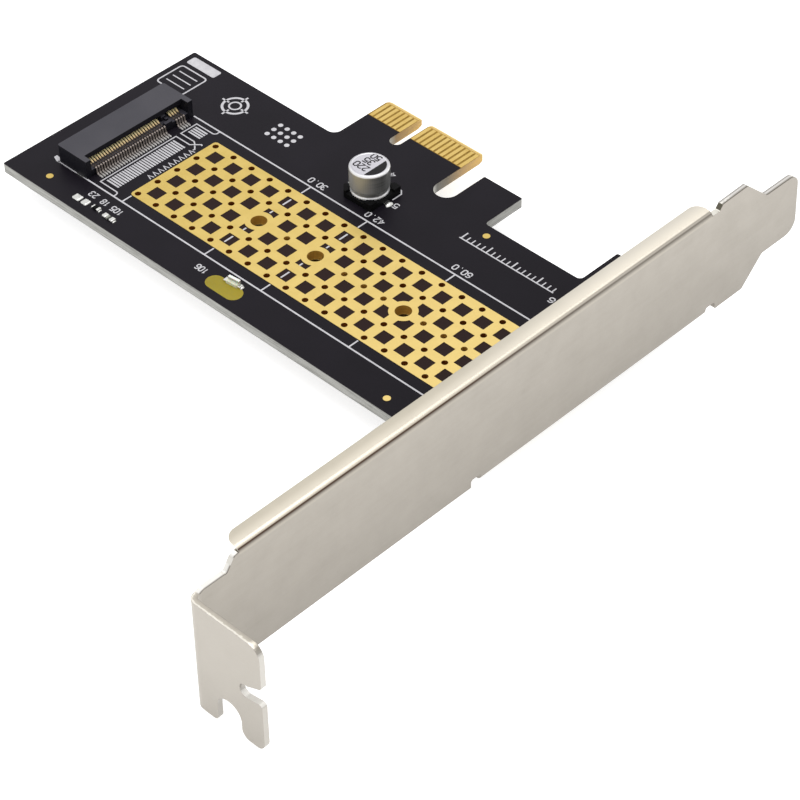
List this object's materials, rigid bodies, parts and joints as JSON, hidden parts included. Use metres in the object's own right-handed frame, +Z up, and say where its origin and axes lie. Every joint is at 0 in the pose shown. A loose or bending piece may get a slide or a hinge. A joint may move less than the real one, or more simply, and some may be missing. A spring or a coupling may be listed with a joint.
{
  "type": "nvme adapter card",
  "caption": "Slot card that carries one M.2 solid-state drive: edge-finger board with socket, gilded heat pad and a folded full-height bracket.",
  "frame": {"origin": "M.2 datum on the board's component face, on the drive's centre line", "axes": "+X along the drive towards the slot bracket, +Y towards the edge fingers, +Z up from the component face"},
  "size_m": [0.111, 0.1197, 0.0225],
  "materials": {
    "board_laminate": "satin black-violet solder mask over glass-epoxy laminate",
    "gold_plating": "flat gold plating over copper",
    "contact_gold": "bright gold-plated spring contact",
    "socket_plastic": "fine matte moulding",
    "capacitor_aluminium": "satin drawn can",
    "capacitor_plastic": "matte moulding",
    "tinned_metal": "bright tin",
    "lamp_resin": "cloudy clear resin",
    "chip_ceramic": "matte glazed",
    "bracket_nickel": "satin nickel-plated steel",
    "screw_steel": "nickel-plated"
  },
  "bodies": {
    "root": {"board": "board_laminate", "thermal_pad": "gold_plating", "rear_thermal_pad": "gold_plating", "edge_contacts_front": "gold_plating", "edge_contacts_rear": "gold_plating", "fiducials": "gold_plating", "socket_housing": "socket_plastic", "socket_upper_contacts": "contact_gold", "socket_lower_contacts": "contact_gold", "socket_hold_downs": "tinned_metal", "capacitor_can": "capacitor_aluminium", "capacitor_base": "capacitor_plastic", "capacitor_leads": "tinned_metal", "led_body": "lamp_resin", "led_terminals": "tinned_metal", "indicator_body": "lamp_resin", "indicator_terminals": "tinned_metal", "resistor_body": "chip_ceramic", "resistor_terminals": "tinned_metal", "solder_pads": "tinned_metal", "bracket": "bracket_nickel", "bracket_screws": "screw_steel"}
  },
  "joints": []
}
